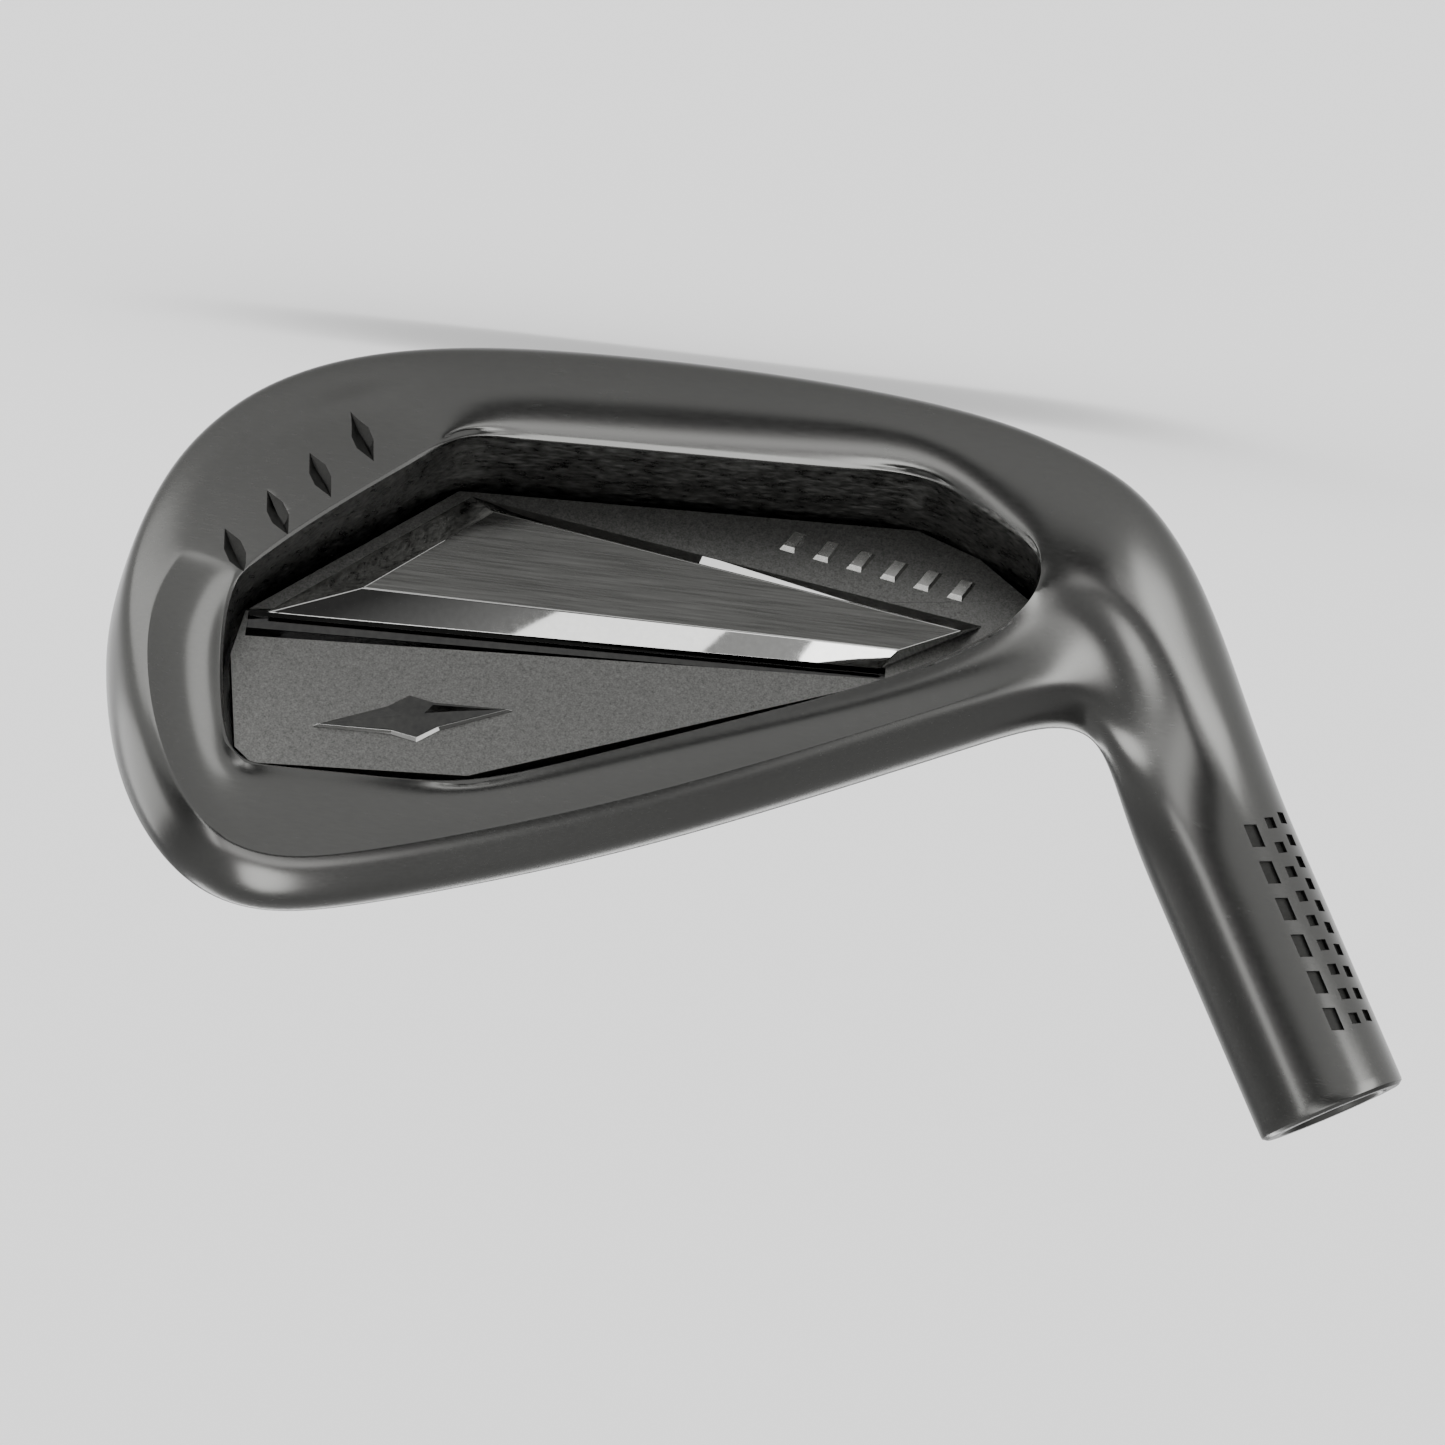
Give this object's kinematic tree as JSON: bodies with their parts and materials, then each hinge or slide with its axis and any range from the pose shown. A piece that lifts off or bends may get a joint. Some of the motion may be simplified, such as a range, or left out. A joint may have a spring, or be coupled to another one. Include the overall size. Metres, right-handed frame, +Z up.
{
  "type": "iron golf club head",
  "caption": "Forged cavity-back iron golf club head with an open hosel, a grooved lofted face and a faceted metal badge seated in the back pocket",
  "frame": {"origin": "middle of the open end of the hosel, on the shaft axis", "axes": "+X heel to toe along the ground line, +Y towards the target, +Z up with the club in its address pose; the sole touches the ground 57.8 mm below the origin"},
  "size_m": [0.117, 0.0376, 0.061],
  "materials": {
    "body_black_finish": "black ion satin",
    "badge_satin": "fine bead-blasted satin",
    "badge_brushed": "lengthwise brushed",
    "badge_polished": "dark polished",
    "badge_bars": "satin",
    "damping_rubber": "matt",
    "adhesive": "matt"
  },
  "bodies": {
    "root": {"forged_body": "body_black_finish", "badge_plate": "badge_satin", "badge_wedge": "badge_brushed", "badge_emblem": "badge_polished", "badge_bars": "badge_bars", "damping_pad": "damping_rubber", "adhesive_film": "adhesive"}
  },
  "joints": []
}
